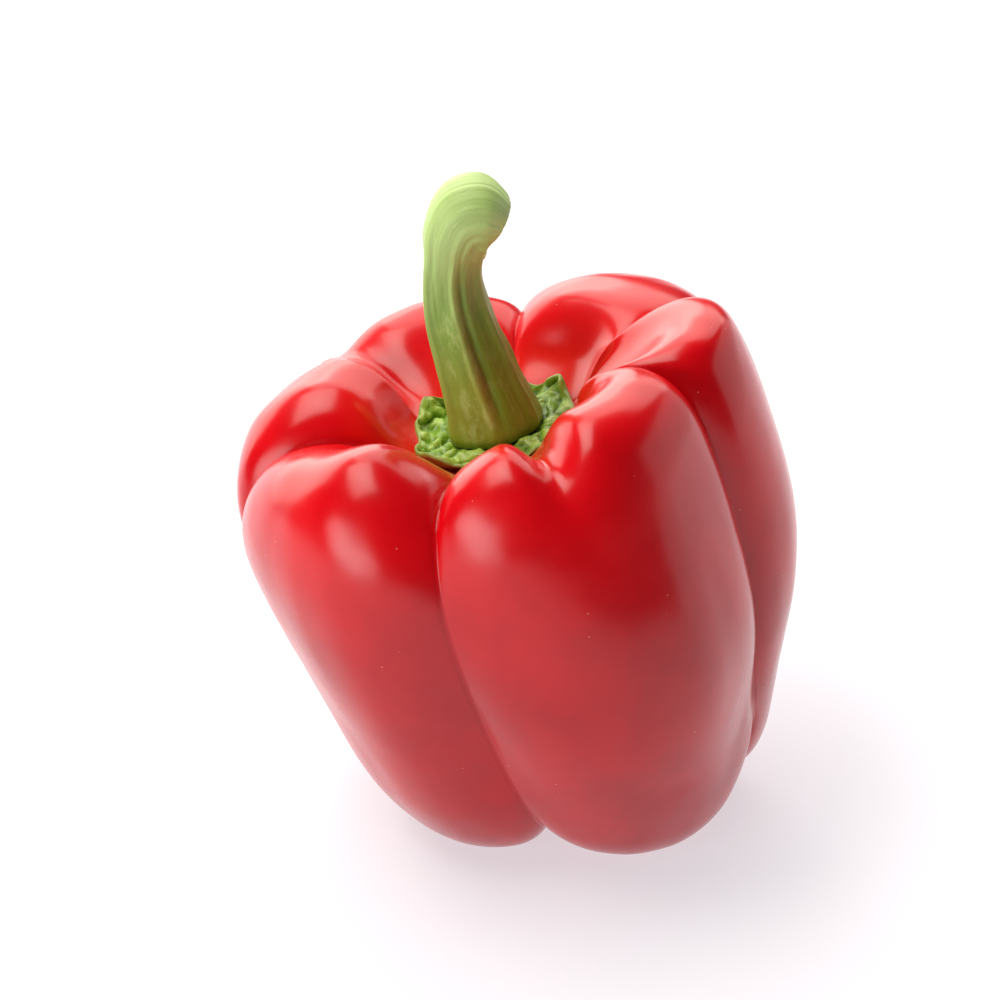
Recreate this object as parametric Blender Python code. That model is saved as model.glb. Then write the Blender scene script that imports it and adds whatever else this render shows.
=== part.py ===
# A red bell pepper standing on its lobes: the fruit, the calyx in its crown and the hooked stem.
# Lengths are in millimetres and angles in degrees until the meshes are written in metres. +Z is up.
import bpy
import numpy as np

for thing in list(bpy.data.objects):
    bpy.data.objects.remove(thing)

gap = 0.3  # clearance kept between two pieces that touch

# ---- the fruit ----
lean = 12.5  # the fruit's own axis leans this far towards -X
leanBack = -1.0  # and this far towards +Y
footShift = -1.5  # its feet sit this far along +X of its middle
seatHeight = 64.0  # floor of the crown's hollow above the feet, along the fruit's axis
seatRadius = 12.0  # flat part of that floor, under the calyx
dimple = 12.0  # height of the hollow underneath, on the axis
press = 0.7  # how far the feet are flattened by the fruit's weight
samplesPerLobe = 16
samplesDown = 46

# Six lobes, counter-clockwise from the front left, seen from above.
# reach: radius at the shoulder; belly: radius at half height; crest: radius and height of the top of the
# shoulder; foot: radius of the lowest point; lift: height of that point over the table.
lobes = [
    dict(name="frontLeft", reach=44.0, belly=40.5, crest=31.0, top=74.5, foot=25.0, lift=-0.35),
    dict(name="frontRight", reach=43.0, belly=50.0, crest=31.0, top=77.0, foot=25.0, lift=-0.3),
    dict(name="right", reach=42.5, belly=45.0, crest=34.0, top=77.0, foot=24.5, lift=3.0),
    dict(name="back", reach=47.5, belly=39.5, crest=30.0, top=74.5, foot=24.5, lift=-0.3),
    dict(name="backLeft", reach=42.0, belly=42.5, crest=32.5, top=74.5, foot=23.5, lift=-0.4),
    dict(name="left", reach=44.5, belly=45.0, crest=27.0, top=75.5, foot=21.5, lift=1.0),
]
# The furrow before each lobe: its direction counter-clockwise from +X, how far it turns on its way down,
# the same dimensions as a lobe's, and how softly it is rounded at half height.
furrows = [
    dict(at=184.0, turn=2.5, reach=43.5, belly=32.0, crest=27.5, top=68.0, foot=20.0, lift=7.5, soft=0.12),
    dict(at=257.5, turn=9.0, reach=41.0, belly=39.0, crest=30.0, top=68.0, foot=25.0, lift=7.0, soft=0.3),
    dict(at=335.5, turn=4.0, reach=37.0, belly=39.5, crest=23.5, top=74.5, foot=26.0, lift=10.5, soft=0.1),
    dict(at=383.5, turn=-5.5, reach=40.0, belly=36.5, crest=27.0, top=72.5, foot=17.5, lift=8.5, soft=0.12),
    dict(at=442.0, turn=1.0, reach=39.0, belly=35.5, crest=30.0, top=68.5, foot=16.5, lift=8.5, soft=0.12),
    dict(at=508.5, turn=-2.5, reach=39.5, belly=37.0, crest=27.0, top=75.0, foot=17.0, lift=9.0, soft=0.12),
]
# Dips across a lobe's shoulder, humps where depth is below 0; across runs from -1 to 1 between its furrows.
# The front right lobe is a double one; the front left lobe is lower on its left side.
dips = [
    dict(lobe=1, depth=5.9, across=-0.22, width=0.16),
    dict(lobe=0, depth=1.8, across=-0.6, width=0.45),
    dict(lobe=0, depth=-3.6, across=0.5, width=0.42),
    dict(lobe=4, depth=3.3, across=0.59, width=0.25),
]
# Flatter sides of a lobe at half height, and fuller ones where depth is below 0, given in the same way.
flats = [
    dict(lobe=1, depth=2.6, across=0.61, width=0.39),
    dict(lobe=0, depth=-2.4, across=0.4, width=0.4),
]


def turnedAbout(axis, angle):
    c, s = np.cos(np.radians(angle)), np.sin(np.radians(angle))
    if axis == "x":
        return np.array([[1, 0, 0], [0, c, -s], [0, s, c]])
    return np.array([[c, 0, s], [0, 1, 0], [-s, 0, c]])


tilt = turnedAbout("y", -lean) @ turnedAbout("x", -leanBack)


def stand(points):
    # from the fruit's own axis to the way it stands
    moved = points.copy()
    moved[..., 0] += footShift * (40 - points[..., 2]) / 40
    return moved @ tilt.T


def outline(shape, table):
    # control points of one meridian, (radius, height), from the crown's floor over the shoulder to the
    # dimple; table gives the height of the table under a radius, since the fruit leans
    reach, belly, crest, top, foot = (shape[key] for key in ("reach", "belly", "crest", "top", "foot"))
    rise = top - seatHeight
    under = lambda radius: table(radius) + shape["lift"]
    same = np.ones_like(under(0.0))
    rows = [
        (0, seatHeight),
        (seatRadius * 0.55, seatHeight),
        (seatRadius, seatHeight),
        (seatRadius + 4, seatHeight + 0.25 * rise),
        (crest - 8.5, seatHeight + 0.72 * rise),
        (crest - 4, top + 1.5),
        (crest + 5, top + 2.5),
        (reach - 1.5, top - 4),
        (reach + 1.5, top - 15),
        (belly + 1, 0.5 * (top + under(belly))),
        ((belly + foot + 9) / 2, 0.26 * top + 0.75 * under(foot)),
        (foot + 11, 10 + under(foot + 11)),
        (foot + 5.5, 0.5 + under(foot + 5.5)),
        (foot - 2.5, under(foot - 2.5) - 1.2),
        (foot - 9, 4 + under(foot - 9)),
        (foot * 0.35, dimple),
        (0, dimple),
    ]
    return np.stack([np.stack([r * same, z * same], -1) for r, z in rows], -2)


def smoothCurve(controls, t):
    # uniform cubic B-spline whose ends are mirrored across the axis, so it leaves both poles flat
    count = controls.shape[-2]
    mirror = np.array([-1.0, 1.0])
    padded = np.concatenate([controls[..., 1:2, :] * mirror, controls, controls[..., -2:-1, :] * mirror], -2)
    x = np.clip(t, 0, 1) * (count - 1)
    k = np.minimum(x.astype(int), count - 2)
    f = x - k
    row = np.arange(len(t))
    basis = np.zeros((len(t), count + 2))
    basis[row, k] = (1 - f) ** 3 / 6
    basis[row, k + 1] = (3 * f**3 - 6 * f**2 + 4) / 6
    basis[row, k + 2] = (-3 * f**3 + 3 * f**2 + 3 * f + 1) / 6
    basis[row, k + 3] = f**3 / 6
    return np.einsum("tk,...kc->...tc", basis, padded)


def furrowShare(distance, soft):
    # 1 in a furrow and 0 on a lobe's ridge, for each control point: a quarter circle with a rounded
    # bottom; soft is the rounding at half height
    softness = 0.03 + (soft - 0.03) * np.array([0] * 7 + [0.3, 0.8, 1, 1, 0.6] + [0.2] * 5)
    bend = (np.sqrt(distance**2 + softness**2) - softness) / (np.sqrt(1 + softness**2) - softness)
    return 1 - np.sqrt(np.clip(1 - (1 - bend) ** 2, 0, 1))


def fruitSurface(perLobe, down):
    # grid of points: around the fruit, then from the crown's floor to the dimple
    t = np.linspace(0, 1, down)
    late = np.clip((t - 0.45) / 0.4, 0, 1)
    late = late * late * (3 - 2 * late)
    around = np.linspace(-1, 1, perLobe, endpoint=False)
    around = 0.5 * np.sin(around * np.pi / 2) + 0.5 * around  # closer together near the furrows
    distance = 1 - np.abs(around)[:, None]
    strips = []
    for index, lobe in enumerate(lobes):
        first = furrows[index]
        second = furrows[(index + 1) % 6]
        lap = 360 if index == 5 else 0
        start = first["at"] + first["turn"] * late
        end = second["at"] + lap + second["turn"] * late
        angle = np.radians(start + (end - start) * (around[:, None] + 1) / 2)
        last = angle[:, -1]
        table = lambda r: -(tilt[2, 0] * r * np.cos(last) + tilt[2, 1] * r * np.sin(last)) / tilt[2, 2]
        ridge = outline(lobe, table)
        valley = np.where((around < 0)[:, None, None], outline(first, table), outline(second, table))
        soft = np.where(around < 0, first["soft"], second["soft"])[:, None]
        share = furrowShare(distance, soft)[..., None]
        controls = ridge * (1 - share) + valley * share
        for dip in dips:
            if dip["lobe"] == index:
                sink = dip["depth"] * np.exp(-(((around - dip["across"]) / dip["width"]) ** 2))
                controls[:, 4:8, 1] -= sink[:, None] * np.array([0.8, 1.0, 0.9, 0.45])
        for flat in flats:
            if flat["lobe"] == index:
                sink = flat["depth"] * np.exp(-(((around - flat["across"]) / flat["width"]) ** 2))
                controls[:, 7:12, 0] -= sink[:, None] * np.array([0.3, 0.8, 1.0, 0.8, 0.3])
        curve = smoothCurve(controls, t)
        radius = curve[..., 0]
        strips.append(np.stack([radius * np.cos(angle), radius * np.sin(angle), curve[..., 1]], -1))
    return stand(np.concatenate(strips, 0))


# ---- the calyx ----
# A shallow green saucer on the crown's floor: thin curled rim with six low points, blistered inside.
calyx = dict(radius=13.2, rim=3.1, tiltUp=1.0, highSide=130.0, bed=1.5, points=0.45, pointsAt=32.0)
# Two of the points stand up higher: direction, extra height, half width.
tips = [(36.0, 2.0, 10.0), (146.0, 1.6, 11.0)]
calyxAround = 72
calyxDown = 27


def calyxSurface(count, down):
    t = np.linspace(0, 1, down)
    angle = np.linspace(0, 360, count, endpoint=False)
    wave = np.cos(np.radians(6 * (angle - calyx["pointsAt"])))
    radius = calyx["radius"] + calyx["points"] * wave + 0.2 * np.sin(np.radians(11 * angle))
    rim = calyx["rim"] + calyx["tiltUp"] * np.cos(np.radians(angle - calyx["highSide"])) + 0.3 * wave
    for at, extra, half in tips:
        away = (angle - at + 180) % 360 - 180
        rim = rim + extra * np.exp(-((away / half) ** 2))
    bed = calyx["bed"] + 0 * rim
    rows = [
        (0 * rim, bed),
        (0 * rim + 4, bed),
        (0 * rim + 8, bed - 0.1),
        (0 * rim + 10, bed + 0.1),
        (radius - 1.9, 0.6 * bed + 0.4 * rim),
        (radius - 0.9, rim - 0.3),
        (radius - 0.1, rim + 0.5),
        (radius + 0.45, rim - 0.1),
        (radius - 0.1, 0.5 * rim + 0.9),
        (radius - 0.7, 0 * rim + 1.35),
        (0 * rim + 11.3, 0 * rim + 0.75),
        (0 * rim + 9.5, 0 * rim + gap + 0.05),
        (0 * rim + 6, 0 * rim + gap),
        (0 * rim, 0 * rim + gap),
    ]
    curve = smoothCurve(np.stack([np.stack(row, -1) for row in rows], -2), t)
    turn = np.radians(angle)[:, None]
    # blisters on the upper side, between the stem and the rim
    band = np.clip((curve[..., 0] - 9.0) / 1.5, 0, 1) * np.clip((0.5 - t) / 0.08, 0, 1)
    blister = np.sin(7 * turn + 1.3 * curve[..., 0]) * np.sin(1.9 * curve[..., 0] + 2 * np.sin(5 * turn))
    height = seatHeight + curve[..., 1] + 0.3 * band * blister
    return stand(np.stack([curve[..., 0] * np.cos(turn), curve[..., 0] * np.sin(turn), height], -1))


# ---- the stem ----
# Stations up the stem, from where it stands on the calyx to the cut at the end of its hook. x and z: centre
# from the middle of the crown's floor; turn: direction it grows in, from upright towards -X; half: half width
# across the hook; deep: half width the other way; ribs: how strongly the ribs show.
stations = [
    dict(x=-0.25, z=1.95, turn=12.5, half=7.5, deep=7.4, ribs=0.3),
    dict(x=-0.5, z=3.35, turn=12.5, half=7.9, deep=7.7, ribs=0.45),
    dict(x=-1.3, z=6.5, turn=14.0, half=7.1, deep=6.8, ribs=0.7),
    dict(x=-2.5, z=10.0, turn=15.0, half=6.45, deep=6.1, ribs=0.9),
    dict(x=-3.6, z=13.4, turn=15.5, half=6.1, deep=5.7, ribs=1.0),
    dict(x=-4.65, z=16.8, turn=15.0, half=5.8, deep=5.4, ribs=1.0),
    dict(x=-5.6, z=20.2, turn=13.0, half=5.5, deep=5.2, ribs=1.0),
    dict(x=-6.3, z=23.5, turn=9.0, half=5.1, deep=5.0, ribs=1.0),
    dict(x=-6.7, z=26.8, turn=4.0, half=4.8, deep=4.9, ribs=1.0),
    dict(x=-6.75, z=29.6, turn=-1.0, half=4.7, deep=5.0, ribs=1.0),
    dict(x=-6.5, z=32.0, turn=-7.0, half=4.8, deep=5.3, ribs=0.9),
    dict(x=-6.2, z=34.4, turn=-30.0, half=5.45, deep=5.8, ribs=0.8),
    dict(x=-4.8, z=37.6, turn=-58.0, half=6.3, deep=6.2, ribs=0.7),
    dict(x=-1.9, z=38.6, turn=-88.0, half=6.2, deep=6.0, ribs=0.7),
    dict(x=0.5, z=37.6, turn=-118.0, half=4.7, deep=5.0, ribs=0.6),
]
ribCount = 6
ribHeight = 0.075  # of the stem's half width
ribAt = 92.0  # direction of the boldest rib, from the outer side of the hook towards the front
endSwing = 12.0  # the cut end is turned this far towards the front
stemAround = 48
stemAlong = 52


def stemSurface(count, along):
    keys = ("x", "z", "turn", "half", "deep", "ribs")
    table = np.array([[station[key] for key in keys] for station in stations])
    knots = np.arange(len(stations))
    at = np.linspace(0, len(stations) - 1, along)
    slopes = np.gradient(table, axis=0)
    k = np.minimum(at.astype(int), len(stations) - 2)
    f = (at - k)[:, None]
    body = (
        (2 * f**3 - 3 * f**2 + 1) * table[k]
        + (f**3 - 2 * f**2 + f) * slopes[k]
        + (3 * f**2 - 2 * f**3) * table[k + 1]
        + (f**3 - f**2) * slopes[k + 1]
    )
    x, z, turn, half, deep, ribs = body.T
    phi = np.linspace(0, 360, count, endpoint=False)
    step = 360 / ribCount
    away = (phi - ribAt + step / 2) % step - step / 2
    facet = np.cos(np.radians(step / 2)) / np.cos(np.radians(step / 2 - np.abs(away)))
    ridge = 0.55 * (facet - facet.mean()) + ribHeight * (np.exp(-((away / 9) ** 2)) - 0.25)
    wide = 1 + ribs[:, None] * ridge[None]
    turnRad = np.radians(turn)[:, None]
    angle = np.radians(phi)[None]
    swing = np.radians(endSwing) * np.clip((at - knots[-4]) / 3, 0, 1)[:, None]
    side = half[:, None] * wide * np.cos(angle)
    front = deep[:, None] * wide * np.sin(angle)
    points = np.stack([
        x[:, None] - side * np.cos(turnRad) + front * np.sin(swing) * -np.sin(turnRad),
        -front * np.cos(swing),
        z[:, None] - side * np.sin(turnRad) + front * np.sin(swing) * np.cos(turnRad),
    ], -1)
    seat = stand(np.array([0.0, 0.0, seatHeight]))
    return (points + seat).transpose(1, 0, 2)


# ---- meshes ----
def closedMesh(name, grid, colour, roughness):
    # grid runs around, then along; both ends are closed by a point in the middle of the last ring
    around, along = grid.shape[:2]
    first = grid[:, 0].mean(0)
    last = grid[:, -1].mean(0)
    vertices = np.concatenate([grid.reshape(-1, 3), [first, last]]) * 0.001
    i, j = np.meshgrid(np.arange(around), np.arange(along - 1), indexing="ij")
    a = (i * along + j).ravel()
    b = (((i + 1) % around) * along + j).ravel()
    ring = np.arange(around)
    after = (ring + 1) % around
    ends = around * along
    faces = np.concatenate([
        np.stack([a, a + 1, b], -1),
        np.stack([b, a + 1, b + 1], -1),
        np.stack([0 * ring + ends, ring * along, after * along], -1),
        np.stack([0 * ring + ends + 1, after * along + along - 1, ring * along + along - 1], -1),
    ])
    centre = vertices.mean(0)
    corners = vertices[faces] - centre
    volume = np.einsum("ij,ij->i", corners[:, 0], np.cross(corners[:, 1], corners[:, 2])).sum()
    if volume < 0:
        faces = faces[:, ::-1]
    mesh = bpy.data.meshes.new(name)
    mesh.from_pydata(vertices.tolist(), [], faces.tolist())
    mesh.polygons.foreach_set("use_smooth", np.ones(len(mesh.polygons), dtype=bool))
    mesh.update()
    paint = bpy.data.materials.new(name)
    paint.use_nodes = True
    shader = paint.node_tree.nodes["Principled BSDF"]
    shader.inputs["Base Color"].default_value = (*colour, 1.0)
    shader.inputs["Roughness"].default_value = roughness
    mesh.materials.append(paint)
    piece = bpy.data.objects.new(name, mesh)
    bpy.context.scene.collection.objects.link(piece)
    return piece


fruit = fruitSurface(samplesPerLobe, samplesDown)
calyxGrid = calyxSurface(calyxAround, calyxDown)
stemGrid = stemSurface(stemAround, stemAlong)

# the feet stand on z = 0, pressed flat, and the whole is centred on its box
pieces = [fruit, calyxGrid, stemGrid]
corners = np.concatenate([piece.reshape(-1, 3) for piece in pieces])
middle = (corners.min(0) + corners.max(0)) / 2
shift = np.array([middle[0], middle[1], fruit[..., 2].min() + press])
for piece in pieces:
    piece -= shift
fruit[..., 2] = np.maximum(fruit[..., 2], 0)

# the first and last rings of the fruit and calyx lie on the axis, so they are dropped for the closing points
closedMesh("fruit", fruit[:, 1:-1], (0.62, 0.004, 0.012), 0.22)
closedMesh("calyx", calyxGrid[:, 1:-1], (0.13, 0.30, 0.035), 0.5)
closedMesh("stem", stemGrid, (0.25, 0.36, 0.09), 0.5)
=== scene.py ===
# Red bell pepper: fine skin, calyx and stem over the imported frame, with floor, lamps and camera.
import bpy
import numpy as np
from mathutils import Matrix, Vector


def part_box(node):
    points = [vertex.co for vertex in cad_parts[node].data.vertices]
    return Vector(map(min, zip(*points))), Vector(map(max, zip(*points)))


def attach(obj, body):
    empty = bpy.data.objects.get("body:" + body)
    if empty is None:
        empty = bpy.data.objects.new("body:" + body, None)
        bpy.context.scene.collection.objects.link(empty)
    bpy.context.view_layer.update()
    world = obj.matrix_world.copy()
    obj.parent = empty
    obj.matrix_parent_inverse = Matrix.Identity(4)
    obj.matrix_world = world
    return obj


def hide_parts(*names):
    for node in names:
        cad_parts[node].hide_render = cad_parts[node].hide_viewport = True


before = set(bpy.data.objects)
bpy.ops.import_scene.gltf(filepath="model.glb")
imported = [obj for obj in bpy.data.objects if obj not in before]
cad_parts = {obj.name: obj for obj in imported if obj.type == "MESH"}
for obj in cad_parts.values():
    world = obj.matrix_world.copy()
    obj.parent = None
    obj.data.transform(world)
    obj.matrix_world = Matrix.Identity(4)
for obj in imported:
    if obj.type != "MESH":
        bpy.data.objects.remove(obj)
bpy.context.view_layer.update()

mm = 0.001
print("frame loaded")


# noise and curves that the pieces share
def hashed(cell, seed):
    # one pseudo-random number from 0 to 1 for each whole-number cell
    x, y, z = (cell[..., axis].astype(np.int64) for axis in range(3))
    mixed = (x * 374761393 + y * 668265263 + z * 1103515245 + seed * 1274126177) & 0xFFFFFFFF
    mixed = ((mixed ^ (mixed >> 13)) * 1274126177) & 0xFFFFFFFF
    mixed = ((mixed ^ (mixed >> 15)) * 2246822519) & 0xFFFFFFFF
    return ((mixed ^ (mixed >> 16)) & 0xFFFFFF) / 0xFFFFFF


def waviness(points, size, seed):
    # smooth noise from -1 to 1: random heights at the corners of cubes of that size, eased between them
    scaled = points / size
    cell = np.floor(scaled)
    part = scaled - cell
    part = part**3 * (part * (part * 6 - 15) + 10)
    total = 0
    for corner in ((0, 0, 0), (1, 0, 0), (0, 1, 0), (0, 0, 1), (1, 1, 0), (1, 0, 1), (0, 1, 1), (1, 1, 1)):
        share = np.prod(np.where(np.array(corner) == 1, part, 1 - part), -1)
        total = total + share * hashed(cell + corner, seed)
    return 2 * total - 1


def eased(value, low, high):
    # 0 below low, 1 above high, an S-curve between
    x = np.clip((value - low) / (high - low), 0, 1)
    return x * x * (3 - 2 * x)


def smoothCurve(controls, t):
    # uniform cubic B-spline whose ends are mirrored across the axis, so it leaves both poles flat
    count = controls.shape[-2]
    mirror = np.array([-1.0, 1.0])
    padded = np.concatenate([controls[..., 1:2, :] * mirror, controls, controls[..., -2:-1, :] * mirror], -2)
    x = np.clip(t, 0, 1) * (count - 1)
    k = np.minimum(x.astype(int), count - 2)
    f = x - k
    row = np.arange(len(t))
    basis = np.zeros((len(t), count + 2))
    basis[row, k] = (1 - f) ** 3 / 6
    basis[row, k + 1] = (3 * f**3 - 6 * f**2 + 4) / 6
    basis[row, k + 2] = (-3 * f**3 + 3 * f**2 + 3 * f + 1) / 6
    basis[row, k + 3] = f**3 / 6
    return np.einsum("tk,...kc->...tc", basis, padded)


def turnedAbout(axis, angle):
    # the matrix of a turn about x or y, by an angle in degrees
    c, s = np.cos(np.radians(angle)), np.sin(np.radians(angle))
    if axis == "x":
        return np.array([[1, 0, 0], [0, c, -s], [0, s, c]])
    return np.array([[c, 0, s], [0, 1, 0], [-s, 0, c]])


def normalsOf(grid):
    # outward unit normals of a closed grid: around first, then along
    across = np.roll(grid, -1, 0) - np.roll(grid, 1, 0)
    along = np.gradient(grid, axis=1)
    normal = np.cross(across, along)
    normal /= np.linalg.norm(normal, axis=-1, keepdims=True) + 1e-12
    outward = (normal * (grid - grid.mean((0, 1)))).sum(-1).mean()
    return normal if outward > 0 else -normal


# the fruit: lengths in millimetres and angles in degrees, with the solid's own values
fruit = dict(
    lean=12.5, leanBack=-1.0,  # to the left and forwards
    footShift=-1.5, pivot=40.0,  # sheared: still at the pivot's height, and moved by that much on the table
    seatHeight=64.0, seatRadius=12.0,  # the crown's flat floor
    dimple=12.0, press=0.7,  # the hollow underneath, and how far the lobes' feet are pressed flat
    perLobe=60, down=232, solidPerLobe=16, solidDown=46,  # points across a lobe, and from crown to dimple
    broadDents=0.20, broadSize=15.0, longDents=0.13, longSize=6.0, longStretch=0.3,
    ripples=0.035, rippleSize=3.2,
    calmCrown=(14.5, 24.0), calmDimple=(4.0, 12.0),  # the dents fade in between these radii
    innerWall=1.0, brow=26.0, browWidth=4.0, wallFoot=19.0, wallFootWidth=2.8,  # the back lobe's inner wall
    warmCrown=(13.0, 27.0),  # the warm colour fades out between these radii
)
# reach: radius at the shoulder; belly: radius at half height; crest and top: radius and height of the crest;
# foot: radius of the lowest ring; lift: its height over the table
lobes = [
    dict(reach=44.0, belly=40.5, crest=31.0, top=74.5, foot=25.0, lift=-0.35),  # front left
    dict(reach=43.0, belly=50.0, crest=31.0, top=77.0, foot=25.0, lift=-0.3),  # front right, a double lobe
    dict(reach=42.5, belly=45.0, crest=34.0, top=77.0, foot=24.5, lift=3.0),  # right
    dict(reach=47.5, belly=39.5, crest=30.0, top=74.5, foot=24.5, lift=-0.3),  # back
    dict(reach=42.0, belly=42.5, crest=32.5, top=74.5, foot=23.5, lift=-0.4),  # back left
    dict(reach=44.5, belly=45.0, crest=27.0, top=75.5, foot=21.5, lift=1.0),  # left
]
# at: direction; turn: how far it wanders towards the foot; soft: how rounded its bottom is
furrows = [
    dict(at=184.0, turn=2.5, reach=43.5, belly=32.0, crest=27.5, top=68.0, foot=20.0, lift=7.5, soft=0.12),
    dict(at=257.5, turn=9.0, reach=41.0, belly=39.0, crest=30.0, top=68.0, foot=25.0, lift=7.0, soft=0.3),
    dict(at=335.5, turn=4.0, reach=37.0, belly=39.5, crest=23.5, top=74.5, foot=26.0, lift=10.5, soft=0.1),
    dict(at=383.5, turn=-5.5, reach=40.0, belly=36.5, crest=27.0, top=72.5, foot=17.5, lift=8.5, soft=0.12),
    dict(at=442.0, turn=1.0, reach=39.0, belly=35.5, crest=30.0, top=68.5, foot=16.5, lift=8.5, soft=0.12),
    dict(at=508.5, turn=-2.5, reach=39.5, belly=37.0, crest=27.0, top=75.0, foot=17.0, lift=9.0, soft=0.12),
]
# dents across a lobe's crest, raised where depth is below 0
dips = [
    dict(lobe=1, depth=5.9, across=-0.22, width=0.16),
    dict(lobe=0, depth=1.8, across=-0.6, width=0.45),
    dict(lobe=0, depth=-3.6, across=0.5, width=0.42),
    dict(lobe=4, depth=3.3, across=0.59, width=0.25),
]
# flatter sides of a lobe at half height, fuller where depth is below 0
flats = [
    dict(lobe=1, depth=2.6, across=0.61, width=0.39),
    dict(lobe=0, depth=-2.4, across=0.4, width=0.4),
]
tilt = turnedAbout("y", -fruit["lean"]) @ turnedAbout("x", -fruit["leanBack"])


def stand(points):
    # from the fruit's own axis to the way it stands
    moved = points.copy()
    moved[..., 0] += fruit["footShift"] * (fruit["pivot"] - points[..., 2]) / fruit["pivot"]
    return moved @ tilt.T


def outline(shape, table):
    # control points of one meridian, (radius, height): the crown's floor, its wall, the shoulder, the side,
    # the foot and the dimple
    reach, belly, crest, top, foot = (shape[key] for key in ("reach", "belly", "crest", "top", "foot"))
    seat, flat, dimple = fruit["seatHeight"], fruit["seatRadius"], fruit["dimple"]
    rise = top - seat
    under = lambda radius: table(radius) + shape["lift"]
    same = np.ones_like(under(0.0))
    rows = [
        (0, seat), (flat * 0.55, seat), (flat, seat), (flat + 4, seat + 0.25 * rise),
        (crest - 8.5, seat + 0.72 * rise), (crest - 4, top + 1.5), (crest + 5, top + 2.5),
        (reach - 1.5, top - 4), (reach + 1.5, top - 15), (belly + 1, 0.5 * (top + under(belly))),
        ((belly + foot + 9) / 2, 0.26 * top + 0.75 * under(foot)), (foot + 11, 10 + under(foot + 11)),
        (foot + 5.5, 0.5 + under(foot + 5.5)), (foot - 2.5, under(foot - 2.5) - 1.2),
        (foot - 9, 4 + under(foot - 9)), (foot * 0.35, dimple), (0, dimple),
    ]
    return np.stack([np.stack([r * same, z * same], -1) for r, z in rows], -2)


def furrowShare(distance, soft):
    # 1 in a furrow and 0 on a lobe's ridge: a quarter circle, its bottom rounded more at half height
    sharpest = 0.03
    rounding = np.array([0] * 7 + [0.3, 0.8, 1, 1, 0.6] + [0.2] * 5)  # a share for each of outline's points
    softness = sharpest + (soft - sharpest) * rounding
    bend = (np.sqrt(distance**2 + softness**2) - softness) / (np.sqrt(1 + softness**2) - softness)
    return 1 - np.sqrt(np.clip(1 - (1 - bend) ** 2, 0, 1))


def fruitSurface(perLobe, down):
    # each meridian is a smooth curve; its control points go from the lobe's to the furrow's by furrowShare
    t = np.linspace(0, 1, down)
    late = eased(t, 0.45, 0.85)
    around = np.linspace(-1, 1, perLobe, endpoint=False)
    around = 0.5 * np.sin(around * np.pi / 2) + 0.5 * around
    distance = 1 - np.abs(around)[:, None]
    strips = []
    for index, lobe in enumerate(lobes):
        first, second = furrows[index], furrows[(index + 1) % len(furrows)]
        lap = 360 if index == len(lobes) - 1 else 0
        start = first["at"] + first["turn"] * late
        end = second["at"] + lap + second["turn"] * late
        angle = np.radians(start + (end - start) * (around[:, None] + 1) / 2)
        last = angle[:, -1]
        table = lambda r: -(tilt[2, 0] * r * np.cos(last) + tilt[2, 1] * r * np.sin(last)) / tilt[2, 2]
        valley = np.where((around < 0)[:, None, None], outline(first, table), outline(second, table))
        soft = np.where(around < 0, first["soft"], second["soft"])[:, None]
        share = furrowShare(distance, soft)[..., None]
        controls = outline(lobe, table) * (1 - share) + valley * share
        for dip in dips:
            if dip["lobe"] == index:
                sink = dip["depth"] * np.exp(-(((around - dip["across"]) / dip["width"]) ** 2))
                controls[:, 4:8, 1] -= sink[:, None] * np.array([0.8, 1.0, 0.9, 0.45])
        for flat in flats:
            if flat["lobe"] == index:
                sink = flat["depth"] * np.exp(-(((around - flat["across"]) / flat["width"]) ** 2))
                controls[:, 7:12, 0] -= sink[:, None] * np.array([0.3, 0.8, 1.0, 0.8, 0.3])
        curve = smoothCurve(controls, t)
        radius, height = curve[..., 0], curve[..., 1]
        strips.append(np.stack([radius * np.cos(angle), radius * np.sin(angle), height], -1))
    return np.concatenate(strips, 0)


# the solid was centred on its box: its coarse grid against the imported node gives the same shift
coarse = stand(fruitSurface(fruit["solidPerLobe"], fruit["solidDown"]))
low = np.array(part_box("fruit")[0]) / mm
shift = coarse.reshape(-1, 3).min(0) - low
shift[2] = coarse[..., 2].min() + fruit["press"]


def fineFruit():
    # the same surface on a finer grid, moved along its normals by dents and ripples that fade out in the
    # crown and the dimple; the back lobe's inner wall is steeper, a bulge at its brow less one at its foot
    axisFrame = fruitSurface(fruit["perLobe"], fruit["down"])
    radius = np.hypot(axisFrame[..., 0], axisFrame[..., 1])
    upper = np.linspace(0, 1, fruit["down"])[None] < 0.5
    calm = np.where(upper, eased(radius, *fruit["calmCrown"]), eased(radius, *fruit["calmDimple"]))
    lengthwise = axisFrame * np.array([1, 1, fruit["longStretch"]])
    relief = fruit["broadDents"] * waviness(axisFrame, fruit["broadSize"], 1)
    relief += fruit["longDents"] * waviness(lengthwise, fruit["longSize"], 2)
    relief += fruit["ripples"] * waviness(axisFrame, fruit["rippleSize"], 3)
    across = np.linspace(-1, 1, fruit["perLobe"], endpoint=False)
    backLobe = np.zeros((len(lobes), fruit["perLobe"]))
    backLobe[3] = (1 - across**2) ** 1.5
    brow = np.exp(-(((radius - fruit["brow"]) / fruit["browWidth"]) ** 2))
    foot = np.exp(-(((radius - fruit["wallFoot"]) / fruit["wallFootWidth"]) ** 2))
    wall = fruit["innerWall"] * backLobe.reshape(-1, 1) * (brow - foot) * upper
    grid = stand(axisFrame)
    grid += normalsOf(grid) * (relief * calm + wall)[..., None]
    grid -= shift
    grid[..., 2] = np.maximum(grid[..., 2], 0)
    return grid, np.where(upper, 1 - eased(radius, *fruit["warmCrown"]), 0.0)


fruitGrid, crown = fineFruit()
print("fruit shaped")

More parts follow.
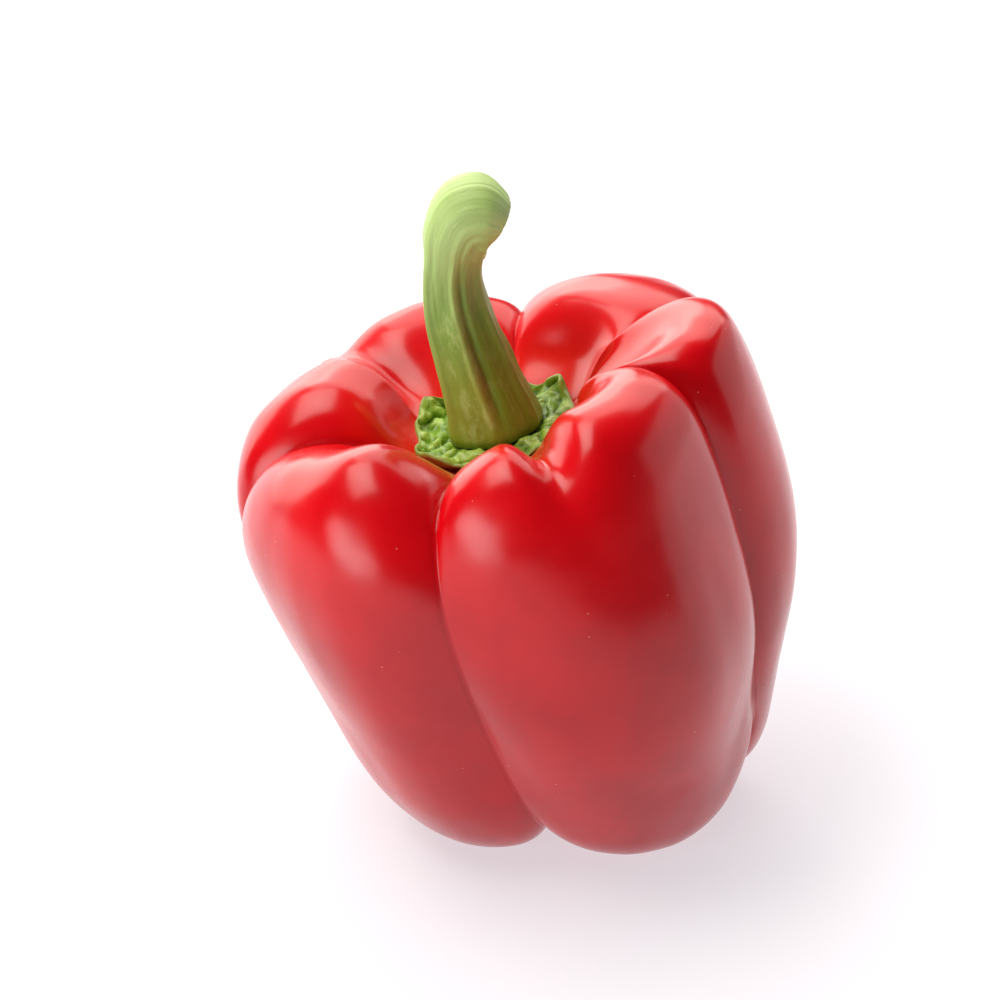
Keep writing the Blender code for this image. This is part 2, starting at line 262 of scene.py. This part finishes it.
# the calyx, over the crown's floor; tips: (direction, extra height, half width)
calyx = dict(
    radius=13.2, rim=3.1, tiltUp=1.0, highSide=130.0, bed=1.5, gap=0.3,
    pointCount=6, points=0.45, pointRise=0.3, pointsAt=32.0, waver=0.2, waverCount=11,
    tips=[(36.0, 2.0, 10.0), (146.0, 1.6, 11.0)],
    around=420, down=170,
    frill=0.5, frillSize=2.4, ragged=0.25, raggedSize=3.1, edgeRing=13.0,  # the rim's small waves
    blister=1.15, blisterSize=2.3, crinkle=0.24, crinkleSize=0.95, level=0.28, warp=0.5, warpSize=2.6,
    blisterFrom=(6.6, 8.2),  # the blisters rise between these radii
    blisterUpTo=(0.44, 0.5), rimFrom=(0.40, 0.47),  # shares of the way from the middle over the rim
    grain=0.06, grainSize=0.9, grainFrom=(9.0, 12.0),
)


def calyxSurface(count, down):
    # a saucer's section, (radius, height), whose rim waves with the direction; blisters ride on its top
    t = np.linspace(0, 1, down)
    angle = np.linspace(0, 360, count, endpoint=False)
    wave = np.cos(np.radians(calyx["pointCount"] * (angle - calyx["pointsAt"])))
    turn = np.radians(angle)
    circle = np.stack([np.cos(turn), np.sin(turn), 0 * angle], -1) * calyx["edgeRing"]
    waver = calyx["waver"] * np.sin(np.radians(calyx["waverCount"] * angle))
    reach = calyx["radius"] + calyx["points"] * wave + waver
    lifted = calyx["tiltUp"] * np.cos(np.radians(angle - calyx["highSide"]))
    rim = calyx["rim"] + lifted + calyx["pointRise"] * wave
    rim = rim + calyx["frill"] * waviness(circle, calyx["frillSize"], 11)
    reach = reach + calyx["ragged"] * waviness(circle, calyx["raggedSize"], 12)
    for at, extra, half in calyx["tips"]:
        away = (angle - at + 180) % 360 - 180
        rim = rim + extra * np.exp(-((away / half) ** 2))
    same = np.ones_like(rim)
    bed, gap = calyx["bed"], calyx["gap"]
    rows = [
        (0 * same, bed * same), (4 * same, bed * same), (8 * same, (bed - 0.1) * same),
        (9.0 * same, (bed + 1.5) * same), (10.6 * same, (bed + 0.6) * same),
        (reach - 1.7, 0.55 * bed + 0.45 * rim), (reach - 0.8, rim - 0.3), (reach - 0.2, rim + 0.6),
        (reach + 0.3, rim - 0.05), (reach - 0.1, 0.5 * rim + 0.9), (reach - 0.7, 1.35 * same),
        (11.3 * same, 0.75 * same), (9.5 * same, (gap + 0.05) * same),
        (6 * same, gap * same), (0 * same, gap * same),
    ]
    curve = smoothCurve(np.stack([np.stack(row, -1) for row in rows], -2), t)
    turn = turn[:, None]
    radius, height = curve[..., 0], curve[..., 1]
    points = np.stack([radius * np.cos(turn), radius * np.sin(turn), height], -1)
    inside = eased(radius, *calyx["blisterFrom"]) * (1 - eased(t, *calyx["blisterUpTo"]))[None]
    warp = np.stack([waviness(points, calyx["warpSize"], seed) for seed in (31, 32, 33)], -1)
    bent = points + calyx["warp"] * warp
    bulge = np.abs(waviness(bent, calyx["blisterSize"], 13))
    crinkle = np.abs(waviness(bent, calyx["crinkleSize"], 14))
    relief = calyx["blister"] * (bulge - calyx["level"]) + calyx["crinkle"] * (crinkle - calyx["level"])
    grain = calyx["grain"] * waviness(points, calyx["grainSize"], 15)
    relief = relief * inside + grain * (1 - inside) * eased(radius, *calyx["grainFrom"])
    points = points + normalsOf(points) * relief[..., None]
    points[..., 2] += fruit["seatHeight"]
    rimward = eased(t, *calyx["rimFrom"])[None] * same[:, None]
    fields = dict(blister=bulge * inside, crinkle=crinkle * inside, rimward=rimward)
    return stand(points) - shift, fields


calyxGrid, calyxFields = calyxSurface(calyx["around"], calyx["down"])
print("calyx shaped")

# the stem: stations from where it stands on the calyx to the cut end of its hook, as in the solid;
# x and z: the middle; turn: the ring's slope; half and deep: half its width and depth; ribs: how sharp
stations = [
    dict(x=-0.25, z=1.95, turn=12.5, half=7.5, deep=7.4, ribs=0.3),
    dict(x=-0.5, z=3.35, turn=12.5, half=7.9, deep=7.7, ribs=0.45),
    dict(x=-1.3, z=6.5, turn=14.0, half=7.1, deep=6.8, ribs=0.7),
    dict(x=-2.5, z=10.0, turn=15.0, half=6.45, deep=6.1, ribs=0.9),
    dict(x=-3.6, z=13.4, turn=15.5, half=6.1, deep=5.7, ribs=1.0),
    dict(x=-4.65, z=16.8, turn=15.0, half=5.8, deep=5.4, ribs=1.0),
    dict(x=-5.6, z=20.2, turn=13.0, half=5.5, deep=5.2, ribs=1.0),
    dict(x=-6.3, z=23.5, turn=9.0, half=5.1, deep=5.0, ribs=1.0),
    dict(x=-6.7, z=26.8, turn=4.0, half=4.8, deep=4.9, ribs=1.0),
    dict(x=-6.75, z=29.6, turn=-1.0, half=4.7, deep=5.0, ribs=1.0),
    dict(x=-6.5, z=32.0, turn=-7.0, half=4.8, deep=5.3, ribs=0.9),
    dict(x=-6.2, z=34.4, turn=-30.0, half=5.45, deep=5.8, ribs=0.8),
    dict(x=-4.8, z=37.6, turn=-58.0, half=6.3, deep=6.2, ribs=0.7),
    dict(x=-1.9, z=38.6, turn=-88.0, half=6.2, deep=6.0, ribs=0.7),
    dict(x=0.5, z=37.6, turn=-118.0, half=4.7, deep=5.0, ribs=0.6),
]
stem = dict(
    around=240, along=270,
    endSwing=12.0, swingOver=3,  # the hook's rings swing by this angle over the last stations
    ribCount=6, ribHeight=0.075, ribAt=92.0, ribWidth=9.0, ribMean=0.25, facets=0.55,
    smoothTop=0.55, smoothFrom=(0.5, 0.8),  # the ribs soften between these shares of the way up
    roundEnd=0.14, roundFrom=0.93, roundSpan=0.07,  # the last rings shrink by this share
    grainRadius=6.0,  # of the straight stem that streaks and lumps are worked out on
    streaks=0.045, streakSize=0.55, streakStretch=0.09,
    broadStreaks=0.6, broadStreakSize=1.1, broadStretch=0.06, lumps=0.2, lumpSize=3.4, lumpStretch=0.6,
    furrowAt=108.0, furrowWidth=6.5, furrowDepth=0.35, furrowFrom=(0.05, 0.2), furrowUpTo=(0.55, 0.8),
    cutRings=14, cutHollow=0.5, cutLip=0.25, lipAt=0.12, lipWidth=0.1, cutGrain=0.12, cutGrainSize=0.8,
    cutCrowding=1.2, cutMiddle=0.004,  # how the rings crowd to the rim, and the size of the last one
)


def stemSurface(count, along):
    # rings between the stations: an ellipse whose outline is part hexagon, with a raised rib at each corner
    keys = ("x", "z", "turn", "half", "deep", "ribs")
    table = np.array([[station[key] for key in keys] for station in stations])
    last = len(stations) - 1
    at = np.linspace(0, last, along)
    slopes = np.gradient(table, axis=0)
    k = np.minimum(at.astype(int), last - 1)
    f = (at - k)[:, None]
    body = (2 * f**3 - 3 * f**2 + 1) * table[k] + (f**3 - 2 * f**2 + f) * slopes[k]
    body = body + (3 * f**2 - 2 * f**3) * table[k + 1] + (f**3 - f**2) * slopes[k + 1]
    x, z, turn, half, deep, ribs = body.T
    phi = np.linspace(0, 360, count, endpoint=False)
    step = 360 / stem["ribCount"]
    away = (phi - stem["ribAt"] + step / 2) % step - step / 2
    facet = np.cos(np.radians(step / 2)) / np.cos(np.radians(step / 2 - np.abs(away)))
    rib = np.exp(-((away / stem["ribWidth"]) ** 2))
    ridge = stem["facets"] * (facet - facet.mean()) + stem["ribHeight"] * (rib - stem["ribMean"])
    climb = np.clip(at / last, 0, 1)[:, None]
    wide = 1 + ribs[:, None] * ridge[None] * (1 - stem["smoothTop"] * eased(climb, *stem["smoothFrom"]))
    lateness = np.clip((climb - stem["roundFrom"]) / stem["roundSpan"], 0, 1)
    wide = wide * (1 - stem["roundEnd"] * lateness**2)
    turnRad = np.radians(turn)[:, None]
    angle = np.radians(phi)[None]
    # straightened coordinates of the stem: round its outline, and the way along it
    way = np.concatenate([[0], np.cumsum(np.hypot(np.diff(x), np.diff(z)))])
    level = 0 * turnRad
    circle = stem["grainRadius"] * np.cos(angle), stem["grainRadius"] * np.sin(angle)
    straight = np.stack([circle[0] + level, circle[1] + level, way[:, None] + 0 * angle], -1)
    fine = waviness(straight * np.array([1, 1, stem["streakStretch"]]), stem["streakSize"], 21)
    broad = waviness(straight * np.array([1, 1, stem["broadStretch"]]), stem["broadStreakSize"], 22)
    fine = fine + stem["broadStreaks"] * broad
    lump = waviness(straight * np.array([1, 1, stem["lumpStretch"]]), stem["lumpSize"], 23)
    # the furrow beside the front ridge, fading towards the bend and the foot
    furrow = np.exp(-(((phi[None] - stem["furrowAt"]) / stem["furrowWidth"]) ** 2))
    furrow = furrow * eased(climb, *stem["furrowFrom"]) * (1 - eased(climb, *stem["furrowUpTo"]))
    extra = stem["streaks"] * fine * (1 + climb) + stem["lumps"] * lump - stem["furrowDepth"] * furrow
    side = (half[:, None] * wide + extra) * np.cos(angle)
    front = (deep[:, None] * wide + extra) * np.sin(angle)
    atEnd = np.clip((at - last + stem["swingOver"]) / stem["swingOver"], 0, 1)[:, None]
    swing = np.radians(stem["endSwing"]) * atEnd
    points = np.stack([
        x[:, None] - side * np.cos(turnRad) - front * np.sin(swing) * np.sin(turnRad),
        -front * np.cos(swing),
        z[:, None] - side * np.sin(turnRad) + front * np.sin(swing) * np.cos(turnRad),
    ], -1)
    # the cut end: rings that shrink to the middle and sink a little
    ring = points[-1]
    middle = ring.mean(0)
    ahead = np.cross(ring[0] - middle, ring[count // 4] - middle)
    ahead *= np.sign(ahead @ (points[-1].mean(0) - points[-6].mean(0))) / np.linalg.norm(ahead)
    shrink = np.linspace(0, 1, stem["cutRings"] + 1)[1:, None, None]
    inward = 1 - shrink ** stem["cutCrowding"]
    hollow = stem["cutHollow"] * np.sqrt(np.clip(shrink, 0, 1))
    hollow = hollow - stem["cutLip"] * np.exp(-(((shrink - stem["lipAt"]) / stem["lipWidth"]) ** 2))
    bumpy = stem["cutGrain"] * waviness(ring[None] * inward, stem["cutGrainSize"], 24)[..., None]
    smaller = np.maximum(inward, stem["cutMiddle"])
    cap = middle + (ring - middle)[None] * smaller - ahead * (hollow + bumpy * shrink)
    points = np.concatenate([points, cap], 0)
    seat = stand(np.array([0.0, 0.0, fruit["seatHeight"]]))
    rows = np.arange(len(points))
    whole = np.ones((len(points), count))
    straight = np.concatenate([straight, np.broadcast_to(straight[-1], (len(cap), count, 3))], 0)
    fields = dict(
        rib=whole * rib[None], cut=whole * np.clip((rows - along + 1) / 3, 0, 1)[:, None],
        rise=whole * np.minimum(rows / (along - 1), 1)[:, None], grain=straight,
        furrow=np.concatenate([furrow, np.zeros((len(cap), count))]), turn=whole * phi[None] / 360,
    )
    fields = {name: np.swapaxes(field, 0, 1) for name, field in fields.items()}
    return (points + seat).transpose(1, 0, 2) - shift, fields


stemGrid, stemFields = stemSurface(stem["around"], stem["along"])
print("stem shaped")


def closedPiece(name, grid, fields, node, finish):
    # quads between the rings, fans at both ends; each field becomes an attribute of the points
    around, along = grid.shape[:2]
    points = np.concatenate([grid.reshape(-1, 3), [grid[:, 0].mean(0), grid[:, -1].mean(0)]]) * mm
    i, j = np.meshgrid(np.arange(around), np.arange(along - 1), indexing="ij")
    a = (i * along + j).ravel()
    b = (((i + 1) % around) * along + j).ravel()
    quads = np.stack([a, a + 1, b + 1, b], -1)
    ring = np.arange(around)
    after = (ring + 1) % around
    pole = around * along
    fans = np.concatenate([
        np.stack([0 * ring + pole, ring * along, after * along], -1),
        np.stack([0 * ring + pole + 1, after * along + along - 1, ring * along + along - 1], -1),
    ])
    solid = np.concatenate([quads[:, [0, 1, 2]], quads[:, [0, 2, 3]], fans])
    corners = points[solid]
    if np.einsum("ij,ij->i", corners[:, 0], np.cross(corners[:, 1], corners[:, 2])).sum() < 0:
        quads, fans = quads[:, ::-1], fans[:, ::-1]
    mesh = bpy.data.meshes.new(name)
    mesh.from_pydata(points.tolist(), [], quads.tolist() + fans.tolist())
    mesh.polygons.foreach_set("use_smooth", np.ones(len(mesh.polygons), dtype=bool))
    for key, field in fields.items():
        vector = field.ndim == 3
        flat = field.reshape(-1, 3) if vector else field.reshape(-1)
        ends = np.stack([field[:, 0].mean(0), field[:, -1].mean(0)])
        values = np.concatenate([flat, ends]).astype(np.float32)
        layer = mesh.attributes.new(key, "FLOAT_VECTOR" if vector else "FLOAT", "POINT")
        layer.data.foreach_set("vector" if vector else "value", values.ravel())
    mesh.update()
    mesh.materials.append(finish)
    piece = bpy.data.objects.new(name, mesh)
    bpy.context.scene.collection.objects.link(piece)
    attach(piece, "root")
    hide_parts(node)


class Wire:
    # an output in a finish's node tree; arithmetic on it adds Math nodes
    def __init__(self, finish, socket):
        self.finish = finish
        self.socket = socket

    def __add__(self, other):
        return self.finish.math("ADD", self, other)

    def __radd__(self, other):
        return self.finish.math("ADD", other, self)

    def __sub__(self, other):
        return self.finish.math("SUBTRACT", self, other)

    def __rsub__(self, other):
        return self.finish.math("SUBTRACT", other, self)

    def __mul__(self, other):
        return self.finish.math("MULTIPLY", self, other)

    def __rmul__(self, other):
        return self.finish.math("MULTIPLY", other, self)

    def __gt__(self, other):
        return self.finish.math("GREATER_THAN", self, other)


class Finish:
    # a material and short ways to add nodes to it
    def __init__(self, name):
        self.material = bpy.data.materials.new(name)
        self.material.use_nodes = True
        self.tree = self.material.node_tree
        self.shader = self.tree.nodes["Principled BSDF"]
        self.place = self.node("TexCoord", output="Object")

    def plug(self, socket, value):
        if isinstance(value, Wire):
            self.tree.links.new(value.socket, socket)
        elif socket.type == "RGBA" and len(value) == 3:
            socket.default_value = (*value, 1.0)
        else:
            socket.default_value = value

    def node(self, kind, settings=None, inputs=None, output=0):
        made = self.tree.nodes.new("ShaderNode" + kind)
        for key, value in (settings or {}).items():
            setattr(made, key, value)
        for key, value in (inputs or {}).items():
            self.plug(made.inputs[key], value)
        return Wire(self, made.outputs[output])

    def math(self, operation, first, second):
        return self.node("Math", {"operation": operation}, {0: first, 1: second})

    def blend(self, amount, first, second):
        # the first colour where amount is 0, the second where it is 1
        return self.node("Mix", {"data_type": "RGBA"}, {0: amount, 6: first, 7: second}, 2)

    def noise(self, scale, detail, rough, where=None):
        inputs = {"Vector": where or self.place, "Scale": scale, "Detail": detail, "Roughness": rough}
        return self.node("TexNoise", None, inputs, "Fac")

    def spread(self, value, low, high):
        # 0 below low, 1 above high, an S-curve between
        return self.node("MapRange", {"interpolation_type": "SMOOTHSTEP"}, {0: value, 1: low, 2: high})

    def field(self, name, output="Fac"):
        return self.node("Attribute", {"attribute_name": name}, None, output)

    def bump(self, height, distance, strength):
        inputs = {"Height": height, "Distance": distance, "Strength": strength}
        return self.node("Bump", None, inputs, "Normal")

    def set(self, **values):
        for key, value in values.items():
            self.plug(self.shader.inputs[key.replace("_", " ")], value)
        return self.material


# In the finishes a noise is given as (scale, detail, roughness) and a range as (low, high) for spread.
# waxy red skin: deep red below, brighter at the shoulders (random mottling, plus painted light from above
# that lightens it with height), warmer in the crown, tiny pale flecks
skinLook = dict(
    deep=(0.39, 0.0003, 0.004), bright=(0.63, 0.001, 0.005), warm=(0.74, 0.029, 0.005), warmShare=0.5,
    mottleNoise=(60, 3, 0.6), mottleRange=(0.3, 0.7), mottleShare=0.4,
    brightRange=(0.03, 0.07),  # heights in metres over the table, between which painted light lightens the skin
    fleck=(0.85, 0.32, 0.25), fleckScale=420.0, fleckRarity=0.72, fleckSize=(0.03, 0.075), fleckShare=0.45,
    roughness=0.23, unevenness=0.03, crownShine=0.05, coat=0.2, coatRoughness=0.18, refraction=1.45,
    fineNoise=(900, 2, 0.5), rippleNoise=(260, 2, 0.5), fineShare=0.3,
    bumpHeight=0.000006, bumpStrength=0.4, glow=0.06, glowReach=(0.0025, 0.0005, 0.0003),
)


def skinFinish():
    skin = Finish("redSkin")
    mottle = skin.spread(skin.noise(*skinLook["mottleNoise"]), *skinLook["mottleRange"])
    fine = skin.noise(*skinLook["fineNoise"])
    above = skin.node("SeparateXYZ", None, {0: skin.place}, 2)
    share = skinLook["mottleShare"]
    # painted light: the skin grows lighter with height over the table, mixed with random mottling
    mottleAndPaintedLight = mottle * share + skin.spread(above, *skinLook["brightRange"]) * (1 - share)
    colour = skin.blend(mottleAndPaintedLight, skinLook["deep"], skinLook["bright"])
    crown = skin.field("crown")
    colour = skin.blend(crown * skinLook["warmShare"], colour, skinLook["warm"])
    # flecks: small discs in the middle of a few of the cells
    cells = {"Vector": skin.place, "Scale": skinLook["fleckScale"], "Randomness": 1.0}
    distance = skin.node("TexVoronoi", {"feature": "F1"}, cells, "Distance")
    pick = skin.node("TexVoronoi", {"feature": "F1"}, cells, "Color")
    lucky = skin.node("SeparateColor", None, {0: pick}, 0) > skinLook["fleckRarity"]
    fleck = (1 - skin.spread(distance, *skinLook["fleckSize"])) * lucky
    colour = skin.blend(fleck * skinLook["fleckShare"], colour, skinLook["fleck"])
    uneven = skinLook["unevenness"]
    rough = skinLook["roughness"] + (mottle - 0.5) * uneven + (fine - 0.5) * uneven
    rough = rough - crown * skinLook["crownShine"]
    share = skinLook["fineShare"]
    height = fine * share + skin.noise(*skinLook["rippleNoise"]) * (1 - share)
    return skin.set(
        Base_Color=colour, Roughness=rough, IOR=skinLook["refraction"],
        Normal=skin.bump(height, skinLook["bumpHeight"], skinLook["bumpStrength"]),
        Coat_Weight=skinLook["coat"], Coat_Roughness=skinLook["coatRoughness"],
        Subsurface_Weight=skinLook["glow"], Subsurface_Radius=skinLook["glowReach"], Subsurface_Scale=1.0,
    )


# blistered calyx: painted shade darkens the folds and painted light makes the blister tops paler; pale along
# the rim and on the outer wall
calyxLook = dict(
    shadedFold=(0.035, 0.09, 0.003), leaf=(0.15, 0.28, 0.012), top=(0.31, 0.46, 0.06), wall=(0.32, 0.42, 0.06),
    flankRange=(0.0, 0.3), crestRange=(0.3, 0.8), flankBlur=0.2, crestBlur=0.3,
    fineNoise=(1500, 3, 0.6), wrinkleNoise=(500, 2, 0.5),
    wallShare=0.6, crinkleShare=0.4, roughness=0.32, unevenness=0.2,
    bumpHeight=0.00012, bumpStrength=0.6, glow=0.08, glowReach=(0.0008, 0.0012, 0.0003),
)


def calyxFinish():
    leaf = Finish("calyxGreen")
    blister = leaf.field("blister") + leaf.field("crinkle") * calyxLook["crinkleShare"]
    fine = leaf.noise(*calyxLook["fineNoise"])
    # painted shade in the folds between blisters and painted light on the blister tops, both following the
    # blister relief
    flank = leaf.spread(blister + (fine - 0.5) * calyxLook["flankBlur"], *calyxLook["flankRange"])
    crest = leaf.spread(blister + (fine - 0.5) * calyxLook["crestBlur"], *calyxLook["crestRange"])
    colour = leaf.blend(flank, calyxLook["shadedFold"], calyxLook["leaf"])
    colour = leaf.blend(crest, colour, calyxLook["top"])
    colour = leaf.blend(leaf.field("rimward") * calyxLook["wallShare"], colour, calyxLook["wall"])
    rough = calyxLook["roughness"] + (fine - 0.5) * calyxLook["unevenness"]
    height = fine + leaf.noise(*calyxLook["wrinkleNoise"])
    return leaf.set(
        Base_Color=colour, Roughness=rough,
        Normal=leaf.bump(height, calyxLook["bumpHeight"], calyxLook["bumpStrength"]),
        Subsurface_Weight=calyxLook["glow"], Subsurface_Radius=calyxLook["glowReach"], Subsurface_Scale=1.0,
    )


# ribbed stem: pale ribs and wisps, painted shade in the furrow and on the right side low down, olive towards
# the base, dry brown on the cut
stemLook = dict(
    groove=(0.13, 0.25, 0.020), green=(0.18, 0.36, 0.035), rib=(0.32, 0.50, 0.10), base=(0.24, 0.31, 0.006),
    pale=(0.50, 0.65, 0.23), paintedShade=(0.075, 0.21, 0.006), wisp=(0.38, 0.56, 0.15), cut=(0.42, 0.22, 0.12),
    flatStretch=0.09, wispStretch=0.4,  # of the noises along the stem
    streakNoise=(1.1, 3, 0.55), broadNoise=(0.35, 2, 0.5), wispNoise=(0.6, 6, 0.7),
    barkNoise=(5, 4, 0.6), cutNoise=(2500, 3, 0.6),
    greenRange=(0.36, 0.6), ribRange=(0.2, 1.0), ribBlur=0.8, wispRange=(0.45, 0.66),
    baseRange=(0.04, 0.45), paleRange=(0.4, 0.85), shadeRange=(0.3, 0.62),  # shares of the way up
    midwayFrom=(0.02, 0.12), midwayUpTo=(0.42, 0.7),
    shadeTurn=(0.27, 0.33), facingFrom=(0.12, 0.2), facingUpTo=(0.25, 0.29),  # shares of the way round
    ribShare=0.6, baseShare=0.7, furrowShare=0.5, roughness=0.42, unevenness=0.25, cutRoughness=0.3,
    bumpHeight=0.00018, bumpStrength=0.7, glow=0.08, glowReach=(0.0012, 0.0015, 0.0005),
)


def stemFinish():
    bark = Finish("stemGreen")
    grain = bark.field("grain", "Vector")
    flat = bark.node("Mapping", None, {"Vector": grain, "Scale": (1.0, 1.0, stemLook["flatStretch"])})
    crinkled = bark.node("Mapping", None, {"Vector": grain, "Scale": (1.0, 1.0, stemLook["wispStretch"])})
    streak = bark.noise(*stemLook["streakNoise"], flat)
    broad = bark.noise(*stemLook["broadNoise"], flat)
    rise, rib, side, cut = (bark.field(name) for name in ("rise", "rib", "turn", "cut"))
    mixed = bark.spread(streak * 0.5 + broad * 0.5, *stemLook["greenRange"])
    onRib = bark.spread(rib + (streak - 0.5) * stemLook["ribBlur"], *stemLook["ribRange"])
    low = 1 - bark.spread(rise, *stemLook["baseRange"])
    high = bark.spread(rise, *stemLook["paleRange"])
    colour = bark.blend(mixed, stemLook["groove"], stemLook["green"])
    colour = bark.blend(onRib * stemLook["ribShare"], colour, stemLook["rib"])
    colour = bark.blend(low * stemLook["baseShare"], colour, stemLook["base"])
    colour = bark.blend(high * (0.35 + streak * 0.6), colour, stemLook["pale"])
    # painted shade: the side turned to the right is darker low down
    shade = bark.spread(side, *stemLook["shadeTurn"]) * (1 - bark.spread(rise, *stemLook["shadeRange"]))
    colour = bark.blend(shade * (0.15 + broad * 0.5), colour, stemLook["paintedShade"])
    # painted shade in the furrow beside the front ridge
    colour = bark.blend(bark.field("furrow") * stemLook["furrowShare"], colour, stemLook["paintedShade"])
    # pale wisps, more of them on the front at half height
    wisps = bark.spread(bark.noise(*stemLook["wispNoise"], crinkled), *stemLook["wispRange"])
    facing = bark.spread(side, *stemLook["facingFrom"]) * (1 - bark.spread(side, *stemLook["facingUpTo"]))
    midway = bark.spread(rise, *stemLook["midwayFrom"]) * (1 - bark.spread(rise, *stemLook["midwayUpTo"]))
    colour = bark.blend(wisps * (0.2 + facing * midway * 0.6), colour, stemLook["wisp"])
    dry = bark.blend(bark.noise(*stemLook["cutNoise"]), stemLook["cut"], stemLook["wisp"])
    colour = bark.blend(cut, colour, dry)
    rough = stemLook["roughness"] + (streak - 0.5) * stemLook["unevenness"] + cut * stemLook["cutRoughness"]
    height = streak * 0.6 + bark.noise(*stemLook["barkNoise"], crinkled) * 0.7
    return bark.set(
        Base_Color=colour, Roughness=rough,
        Normal=bark.bump(height, stemLook["bumpHeight"], stemLook["bumpStrength"]),
        Subsurface_Weight=stemLook["glow"], Subsurface_Radius=stemLook["glowReach"], Subsurface_Scale=1.0,
    )


# the grids' first and last rings are all on the axis, so they are left to the fans at the poles
closedPiece("fruitSkin", fruitGrid[:, 1:-1], {"crown": crown[:, 1:-1]}, "fruit", skinFinish())
calyxInner = {key: field[:, 1:-1] for key, field in calyxFields.items()}
closedPiece("calyxBlistered", calyxGrid[:, 1:-1], calyxInner, "calyx", calyxFinish())
closedPiece("stemRibbed", stemGrid, stemFields, "stem", stemFinish())
print("pieces made")

floorLook = dict(size=6.0, colour=(0.38, 0.38, 0.40), tint=(0.98, 0.95, 1.0), glow=0.60, roughness=0.6)


def whiteFloor():
    # one square of paper round the fruit, glowing a little so that its own shade stays pale
    half = floorLook["size"] / 2
    mesh = bpy.data.meshes.new("floor")
    corners = [(-half, -half, 0), (half, -half, 0), (half, half, 0), (-half, half, 0)]
    mesh.from_pydata(corners, [], [(0, 1, 2, 3)])
    paper = Finish("whitePaper")
    mesh.materials.append(paper.set(
        Base_Color=floorLook["colour"], Roughness=floorLook["roughness"], Emission_Color=floorLook["tint"],
        Emission_Strength=floorLook["glow"], Specular_IOR_Level=0.0,
    ))
    floor = bpy.data.objects.new("floor", mesh)
    bpy.context.scene.collection.objects.link(floor)


whiteFloor()

# lamps: side: direction from the middle of the fruit, from straight in front towards +X; height: angle above
# the table; glow: brightness of its face; wide and tall in metres
lamps = [
    dict(name="leftSoftbox", side=-93.0, height=65.0, wide=0.72, tall=0.42, glow=8.7, warm=True),
    dict(name="backLeftSoftbox", side=-147.0, height=14.0, wide=0.8, tall=0.36, glow=5.9, warm=True),
    dict(name="backSoftbox", side=174.0, height=41.0, wide=0.8, tall=0.5, glow=5.0, warm=True),
    dict(name="frontReflector", side=-47.0, height=9.0, wide=0.72, tall=0.22, glow=6.3, roll=-14.0),
    dict(name="rightCard", side=114.0, height=12.0, wide=1.0, tall=0.5, glow=2.0),
]
lampStyle = dict(
    away=0.9, aimHeight=0.045, edgeSize=1.3, edgeShare=0.3, coreSize=0.78, wattsPerArea=4.0,
    round=["frontReflector"], warmTint=(1.0, 0.95, 0.88), plainTint=(1.0, 1.0, 1.0),
)


def addLamp(look):
    # two lights on one spot, a large faint one and a small bright one: a softbox brighter in the middle
    side, height = np.radians(look["side"]), np.radians(look["height"])
    aim = Vector((0, 0, lampStyle["aimHeight"]))
    outward = Vector((np.sin(side) * np.cos(height), -np.cos(side) * np.cos(height), np.sin(height)))
    edge = lampStyle["edgeShare"]
    faces = ((lampStyle["edgeSize"], edge), (lampStyle["coreSize"], 1 - edge))
    for size, share in faces:
        light = bpy.data.lights.new(look["name"], "AREA")
        light.shape = "ELLIPSE" if look["name"] in lampStyle["round"] else "RECTANGLE"
        light.size = look["wide"] * size
        light.size_y = look["tall"] * size
        light.energy = lampStyle["wattsPerArea"] * light.size * light.size_y * look["glow"] * share
        light.color = lampStyle["warmTint" if look.get("warm") else "plainTint"]
        lamp = bpy.data.objects.new(look["name"], light)
        lamp.location = aim + outward * lampStyle["away"]
        roll = Matrix.Rotation(np.radians(look.get("roll", 0.0)), 3, "Z")
        turn = outward.to_track_quat("Z", "Y").to_matrix() @ roll
        lamp.rotation_euler = turn.to_euler()
        bpy.context.scene.collection.objects.link(lamp)


for look in lamps:
    addLamp(look)
roomLook = dict(colour=(0.5, 0.5, 0.52), strength=0.06)
room = bpy.data.worlds.new("room")
room.use_nodes = True
walls = room.node_tree.nodes["Background"]
walls.inputs["Color"].default_value = (*roomLook["colour"], 1)
walls.inputs["Strength"].default_value = roomLook["strength"]
bpy.context.scene.world = room
bpy.context.scene.view_settings.view_transform = "Standard"
print("floor and lamps placed")

# camera: aim and away in millimetres; side: heading of its line of sight, from +Y towards +X;
# height: how steeply it looks down
view = dict(
    aim=(-2.5, 1.0, 52.2), side=-1.84, height=26.8, away=449.7, roll=-0.84,
    lens=100.0, sensor=36.0, clip=0.01,
)


def placeCamera():
    # a camera away from its aim, back along its line of sight, and rolled about it
    side, height = np.radians(view["side"]), np.radians(view["height"])
    back = Vector((-np.sin(side) * np.cos(height), -np.cos(side) * np.cos(height), np.sin(height)))
    data = bpy.data.cameras.new("camera")
    data.lens = view["lens"]
    data.sensor_width = view["sensor"]
    data.clip_start = view["clip"]
    camera = bpy.data.objects.new("camera", data)
    spot = (Vector(view["aim"]) + back * view["away"]) * mm
    turn = back.to_track_quat("Z", "Y").to_matrix() @ Matrix.Rotation(np.radians(view["roll"]), 3, "Z")
    camera.matrix_world = Matrix.Translation(spot) @ turn.to_4x4()
    bpy.context.scene.collection.objects.link(camera)
    bpy.context.scene.camera = camera


placeCamera()
